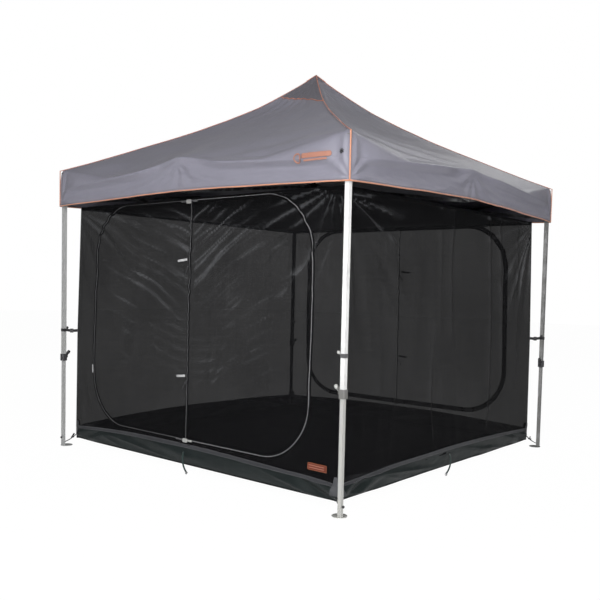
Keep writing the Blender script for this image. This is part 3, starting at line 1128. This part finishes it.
for k, side in ((0, "front"), (2, "back")):
    out = turn(np.array([0, -1.0, 0]), k)
    body = f"{side}_door_left"
    for i, z0 in enumerate((1.553, 0.706)):
        # toggle tabs at the middle zip
        x = np.linspace(-0.138, -0.030, 9) if i == 0 else np.linspace(-0.120, -0.024, 9)
        line = wall_xyz(x, z0 + 0.010 * (x + 0.130) / 0.10, k, 0.006)
        line[:, 1] -= 0.004 * np.sin(np.linspace(0, PI, 9))
        ob = sweep(f"door_tab_{side}_{i}", turn(line, k), out, 0.0085, 0.0022, TABW if k == 0 else WEB, seg=12, taper=1)
        ride(ob, body, squash_room(k, -1))
        ob = plate(f"zip_slider_{side}_{i}", (0.013, 0.022, 0.008), at_wall(-0.009, z0 - 0.034, k, 0.007), BLACKP,
                   rot=Matrix.Rotation(k * PI / 2, 4, "Z") @ Matrix.Rotation(PI / 2, 4, "X"))
        ride(ob, body, squash_room(k, -1))
        line = wall_xyz(np.linspace(-0.020, -0.048, 6), np.linspace(z0 - 0.036, z0 - 0.086, 6), k, 0.010)
        ob = sweep(f"zip_puller_{side}_{i}", turn(line, k), out, 0.0045, 0.0018, BLACKP if k == 0 else WEB, seg=8, taper=1)
        ride(ob, body, squash_room(k, -1))
    for i, z0 in enumerate((1.982, 0.243)):
        # buckles that hold the rolled door, at the top and foot of the middle zip
        R = Matrix.Rotation(k * PI / 2, 4, "Z") @ Matrix.Rotation(PI / 2, 4, "X")
        ob = plate(f"door_buckle_{side}_{i}", (0.046, 0.030, 0.010), at_wall(-0.030 if i == 0 else -0.009, z0, k, 0.009), BUCKLE, bevel=0.004, rot=R)
        ride(ob, leg_of(k, -1), squash_room(k, -1))
        line = wall_xyz(np.linspace(0.010, 0.062, 6), np.full(6, z0 + 0.003), k, 0.009)
        ob = sweep(f"door_buckle_tail_{side}_{i}", turn(line, k), out, 0.0075, 0.0018, BUCKLE if i else WEBGREY, seg=10, taper=1)
        ride(ob, leg_of(k, -1), squash_room(k, -1))
        line = wall_xyz(np.linspace(-0.030, -0.110, 6), np.full(6, z0 + 0.002), k, 0.008)
        ob = sweep(f"door_buckle_strap_{side}_{i}", turn(line, k), out, 0.0060, 0.0015, WEBGREY, seg=10)
        ride(ob, leg_of(k, -1), squash_room(k, -1))
    # pull on the loop zip's left side
    line = wall_xyz(np.full(6, DOOR[k][0] - 0.010), np.linspace(0.708, 0.640, 6), k, 0.009)
    ob = sweep(f"loop_puller_{side}", turn(line, k), out, 0.0065, 0.0020, TABW if k == 0 else WEB, seg=8, taper=1)
    ride(ob, leg_of(k, -1), squash_room(k, -1))

# ---------------------------------------------------------------------------
# straps from the legs and feet to the room, ground straps and pegs
# ---------------------------------------------------------------------------


def square_loop(cx, cy, half, z, r=0.006, n=5):
    pts = []
    for i, (sx, sy) in enumerate(((1, -1), (1, 1), (-1, 1), (-1, -1))):
        c = (cx + sx * (half - r), cy + sy * (half - r))
        a0 = -PI / 2 + i * PI / 2
        for j in range(n):
            t = a0 + j / (n - 1) * PI / 2
            pts.append((c[0] + r * math.cos(t), c[1] + r * math.sin(t), z))
    return np.array(pts)


for k, corner in enumerate(CORNERS):
    leg = f"leg_{corner}"
    # webbing loop round the leg at chest height, with its strap to the room's corner
    z0 = 0.978
    ring = square_loop(LEG, -LEG, 0.0172, z0)
    seg = 10
    V, F, UV = [], [], []
    n = len(ring)
    for i, p in enumerate(ring):
        c = np.array([LEG, -LEG, z0])
        d = p - c
        d[2] = 0
        d = d / np.linalg.norm(d)
        for (dr, dz) in ((0.0, -0.0125), (0.0022, -0.0118), (0.0022, 0.0118), (0.0, 0.0125)):
            V.append(p + d * dr + np.array([0, 0, dz]))
            UV.append((i * 0.0075, dz))
    for i in range(n):
        j = (i + 1) % n
        for q in range(4):
            r = (q + 1) % 4
            F.append((i * 4 + q, j * 4 + q, j * 4 + r, i * 4 + r))
    ob = new_mesh(f"leg_strap_loop_{corner}", turn(np.array(V), k), F, np.array(UV), WEBGREY if k == 0 else WEB)
    ride(ob, leg)
    s = np.linspace(0, 1, 12)
    e = float(room_half(z0))
    p0, p1 = np.array([LEG - 0.016, -LEG + 0.016, z0]), np.array([e + 0.001, -e - 0.001, z0 - 0.002])
    line = p0[None] * (1 - s[:, None]) + p1[None] * s[:, None]
    line[:, 2] -= 0.004 * np.sin(PI * s)
    ob = sweep(f"leg_strap_{corner}", turn(line, k), turn(np.array([1.0, 1.0, 0]), k), 0.0115, 0.0014, WEB, seg=12)
    ride(ob, leg)
    R = Matrix.Rotation(k * PI / 2, 4, "Z") @ Matrix.Rotation(-PI / 4, 4, "Z") @ Matrix.Rotation(PI / 2, 4, "X")
    ob = plate(f"leg_strap_buckle_{corner}", (0.030, 0.034, 0.010), turn(line[5] + np.array([-0.001, -0.001, 0]), k), BLACKP if k else GREYP, bevel=0.004, rot=R)
    ride(ob, leg)
    # knob that stands off the loop
    kn = []
    for i, (dz, rr) in enumerate(((0.0, 0.0045), (0.010, 0.0050), (0.014, 0.0095), (0.026, 0.0100), (0.031, 0.0060), (0.032, 0.0005))):
        kn.append((dz, rr))
    segs = 14
    V, F = [], []
    base = np.array([LEG - 0.0195, -LEG - 0.004, z0 + 0.006])
    axis = np.array([-0.80, -0.15, 0.58])
    axis /= np.linalg.norm(axis)
    e1 = np.cross(axis, [0, 0, 1.0])
    e1 /= np.linalg.norm(e1)
    e2 = np.cross(axis, e1)
    for dz, rr in kn:
        for j in range(segs):
            t = 2 * PI * j / segs
            lobe = 1 + 0.08 * math.cos(6 * t) * (rr > 0.008)
            V.append(base + axis * dz + (e1 * math.cos(t) + e2 * math.sin(t)) * rr * lobe)
    for i in range(len(kn) - 1):
        for j in range(segs):
            q = (j + 1) % segs
            F.append((i * segs + j, i * segs + q, (i + 1) * segs + q, (i + 1) * segs + j))
    F.append(tuple(range((len(kn) - 1) * segs, len(kn) * segs)))
    V = np.array(V)
    ob = new_mesh(f"strap_knob_{corner}", turn(V, k), F, V[:, :2], BUCKLE if k == 0 else BLACKP)
    ride(ob, leg)
    # lever head of the height collar, over the CAD lever
    base2 = np.array([LEG - 0.0345, -LEG - 0.002, 0.766])
    axis2 = np.array([-0.55, -0.10, 0.83])
    axis2 /= np.linalg.norm(axis2)
    e1 = np.cross(axis2, [0, 1.0, 0])
    e1 /= np.linalg.norm(e1)
    e2 = np.cross(axis2, e1)
    V, F = [], []
    prof = ((0.0, 0.0060), (0.012, 0.0064), (0.018, 0.0115), (0.034, 0.0125), (0.041, 0.0090), (0.043, 0.0005))
    for dz, rr in prof:
        for j in range(segs):
            t = 2 * PI * j / segs
            lobe = 1 + 0.07 * math.cos(7 * t) * (rr > 0.008)
            V.append(base2 + axis2 * dz + (e1 * math.cos(t) + e2 * math.sin(t)) * rr * lobe)
    for i in range(len(prof) - 1):
        for j in range(segs):
            q = (j + 1) % segs
            F.append((i * segs + j, i * segs + q, (i + 1) * segs + q, (i + 1) * segs + j))
    F.append(tuple(range((len(prof) - 1) * segs, len(prof) * segs)))
    V = np.array(V)
    ob = new_mesh(f"collar_knob_{corner}", turn(V, k), F, V[:, :2], BUCKLE if k == 0 else BLACKP)
    ride(ob, leg)
    # strap from the tub's corner to the foot of the leg: its end follows the foot when the leg slides up
    s = np.linspace(0, 1, 14)
    p0 = np.array([1.394, -1.394, 0.098])
    p1 = np.array([LEG - 0.0125, -LEG + 0.0125, 0.030])
    line = p0[None] * (1 - s[:, None]) + p1[None] * s[:, None]
    line[:, 2] -= 0.007 * np.sin(PI * s)
    ob = sweep(f"foot_strap_{corner}", turn(line, k), turn(np.array([0.2, 0.2, 1.0]), k), 0.0085, 0.0014, WEB, seg=10)
    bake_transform(ob)
    R = Matrix.Rotation(k * PI / 2, 4, "Z") @ Matrix.Rotation(-PI / 4, 4, "Z")
    ob = plate(f"foot_strap_buckle_{corner}", (0.026, 0.022, 0.007), turn(line[5] + np.array([0, 0, 0.003]), k), BLACKP, bevel=0.003, rot=R)
    ride(ob, leg)
    tail = np.stack([np.linspace(line[5][0], line[5][0] - 0.030, 6) + 0.004, np.linspace(line[5][1], line[5][1] - 0.012, 6), line[5][2] + 0.006 + np.linspace(0, 0.024, 6)], -1)
    ob = sweep(f"foot_strap_tail_{corner}", turn(tail, k), turn(np.array([0.3, 1.0, 0.6]), k), 0.0065, 0.0010, WEB, seg=8, taper=1)
    ride(ob, leg)
    # wing bolt low on the lower leg
    base3 = np.array([LEG + 0.0125, -LEG + 0.002, 0.068])
    V, F = [], []
    prof = ((0.0, 0.0052), (0.004, 0.0056), (0.006, 0.0086), (0.012, 0.0082), (0.0135, 0.0005))
    for dz, rr in prof:
        for j in range(segs):
            t = 2 * PI * j / segs
            V.append(base3 + np.array([dz, math.cos(t) * rr, math.sin(t) * rr]))
    for i in range(len(prof) - 1):
        for j in range(segs):
            q = (j + 1) % segs
            F.append((i * segs + j, i * segs + q, (i + 1) * segs + q, (i + 1) * segs + j))
    F.append(tuple(range((len(prof) - 1) * segs, len(prof) * segs)))
    V = np.array(V)
    ob = new_mesh(f"leg_bolt_{corner}", turn(V, k), F, V[:, 1:], BLACKP)
    ride(ob, f"lower_{leg}")

# peg-down straps at the middle of each side of the tub
for k, side in enumerate(SIDES):
    x0, x1 = [(-0.015, 0.030), (-0.013, -0.098), (0.0, 0.03), (0.0, -0.03)][k]
    s = np.linspace(0, 1, 16)
    p0 = tub_side(np.array([x0]), np.array([0.60]), k)[0] + np.array([0, -0.005, 0])
    p1 = np.array([x1, -ROOM - 0.030, 0.014])
    line = p0[None] * (1 - s[:, None]) + p1[None] * s[:, None]
    line[:, 1] -= 0.022 * np.sin(PI * s) ** 0.8
    ob = sweep(f"ground_strap_{side}", turn(line, k), turn(np.array([0, -1.0, 0.4]), k), 0.0085, 0.0014, WEBG, seg=10)
    ride(ob, leg_of(k, 1), squash_room(k, 1))
    # peg with its hooked head, pushed through the strap's ring
    t = np.linspace(0, 1.5 * PI, 14)
    hook = np.stack([np.zeros(14), -0.009 * np.sin(t), 0.009 * np.cos(t)], -1) + np.array([x1, -ROOM - 0.032, 0.014])
    shaft = np.stack([np.full(5, x1), np.full(5, -ROOM - 0.032), np.linspace(0.022, 0.0015, 5)], -1)
    ob = sweep(f"peg_{side}", turn(hook, k), turn(np.array([1.0, 0, 0]), k), 0.0026, 0.0026, PEGM, seg=8)
    ride(ob, leg_of(k, 1), squash_room(k, 1))
    ob = sweep(f"peg_shaft_{side}", turn(shaft, k), turn(np.array([1.0, 0, 0]), k), 0.0026, 0.0026, PEGM, seg=8)
    ride(ob, leg_of(k, 1), squash_room(k, 1))

# ---------------------------------------------------------------------------
# stage, light and camera
# ---------------------------------------------------------------------------


def stage_mat():
    m = M("stage_floor")
    tc = m.coords()
    n = m.noise(tc.outputs["Object"], 0.8, 3, 0.5)
    col = m.mix(m.math("MULTIPLY", n, 0.03), (0.93, 0.93, 0.935, 1), (0.88, 0.88, 0.885, 1))
    d = m.principled(Base_Color=col, Roughness=0.9, Specular_IOR_Level=0.0)
    e = m.node("ShaderNodeEmission")
    e.inputs[0].default_value = (1, 1, 1, 1)
    e.inputs[1].default_value = 1.01
    lp = m.node("ShaderNodeLightPath")
    mx = m.node("ShaderNodeMixShader")
    m.link(m.math("MULTIPLY", lp.outputs["Is Camera Ray"], 0.975), mx.inputs[0])
    m.link(d.outputs[0], mx.inputs[1])
    m.link(e.outputs[0], mx.inputs[2])
    return m.finish(mx.outputs[0])


bpy.ops.mesh.primitive_plane_add(size=60, location=(0, 0, -0.0005))
floor = bpy.context.object
floor.name = "stage_floor"
floor.data.materials.append(stage_mat())

world = bpy.data.worlds.new("studio")
bpy.context.scene.world = world
world.use_nodes = True
nt = world.node_tree
nt.nodes.clear()
outw = nt.nodes.new("ShaderNodeOutputWorld")
tc = nt.nodes.new("ShaderNodeTexCoord")
sep = nt.nodes.new("ShaderNodeSeparateXYZ")
ramp = nt.nodes.new("ShaderNodeValToRGB")
ramp.color_ramp.elements[0].position, ramp.color_ramp.elements[0].color = 0.0, (0.34, 0.34, 0.35, 1)
ramp.color_ramp.elements[1].position, ramp.color_ramp.elements[1].color = 0.9, (1.0, 1.0, 1.02, 1)
bg1, bg2 = nt.nodes.new("ShaderNodeBackground"), nt.nodes.new("ShaderNodeBackground")
lp = nt.nodes.new("ShaderNodeLightPath")
mix = nt.nodes.new("ShaderNodeMixShader")
nt.links.new(tc.outputs["Generated"], sep.inputs[0])
nt.links.new(sep.outputs[2], ramp.inputs[0])
nt.links.new(ramp.outputs[0], bg1.inputs[0])
bg1.inputs[1].default_value = 0.05
bg2.inputs[0].default_value = (1, 1, 1, 1)
bg2.inputs[1].default_value = 1.0
nt.links.new(lp.outputs["Is Camera Ray"], mix.inputs[0])
nt.links.new(bg1.outputs[0], mix.inputs[1])
nt.links.new(bg2.outputs[0], mix.inputs[2])
nt.links.new(mix.outputs[0], outw.inputs[0])


def area(name, loc, target, size, energy, color=(1, 1, 1)):
    l = bpy.data.lights.new(name, "AREA")
    l.shape, l.size, l.energy, l.color = "SQUARE", size, energy, color
    o = bpy.data.objects.new(name, l)
    COL.objects.link(o)
    o.location = loc
    d = Vector(target) - Vector(loc)
    o.rotation_euler = d.to_track_quat("-Z", "Y").to_euler()
    o.visible_camera = False
    return o


area("front_high", (3.6, -7.2, 6.4), (0, 0, 2.2), 2.4, 365)
area("right_high", (5.5, -3.0, 6.5), (0.2, 0, 1.8), 4.0, 42)
area("left", (-5.0, -6.0, 4.5), (0, 0, 1.6), 4.0, 25)
area("back_right", (6.0, 6.0, 5.5), (0, 0, 2), 3.0, 35)
area("back_left", (-6.5, 6.5, 4.0), (0, 0, 1.6), 4.0, 150)
area("back_high", (0, 7.5, 7.0), (0, 0, 2), 3.0, 60)
area("front_low", (3.5, -8.0, 1.8), (0, 0, 1.5), 3.0, 270)
area("right_low", (8.0, -4.5, 2.6), (1.0, 0, 1.9), 3.0, 285)

yaw, pitch, roll = [math.radians(v) for v in (39.49782, -3.04229, 1.32905)]
fwd = np.array([-math.cos(pitch) * math.sin(yaw), math.cos(pitch) * math.cos(yaw), math.sin(pitch)])
rgt = np.cross(fwd, [0, 0, 1.0])
rgt /= np.linalg.norm(rgt)
up = np.cross(rgt, fwd)
cx = math.cos(roll) * rgt + math.sin(roll) * up
cy = -math.sin(roll) * rgt + math.cos(roll) * up
cam_data = bpy.data.cameras.new("camera")
cam_data.lens = 45.530
cam_data.shift_x, cam_data.shift_y = -0.01373, 0.04848
cam_data.sensor_width = 36.0
cam_data.clip_end = 200
cam = bpy.data.objects.new("camera", cam_data)
COL.objects.link(cam)
mw = Matrix.Identity(4)
for i in range(3):
    mw[i][0], mw[i][1], mw[i][2] = cx[i], cy[i], -fwd[i]
mw[0][3], mw[1][3], mw[2][3] = 4.17061, -5.08785, 1.37138
cam.matrix_world = mw
bpy.context.scene.camera = cam

sc = bpy.context.scene
sc.view_settings.view_transform = "Standard"
sc.view_settings.look = "None"
sc.view_settings.exposure = 0.0
sc.cycles.transparent_max_bounces = 24
sc.cycles.max_bounces = 8

bpy.context.view_layer.update()
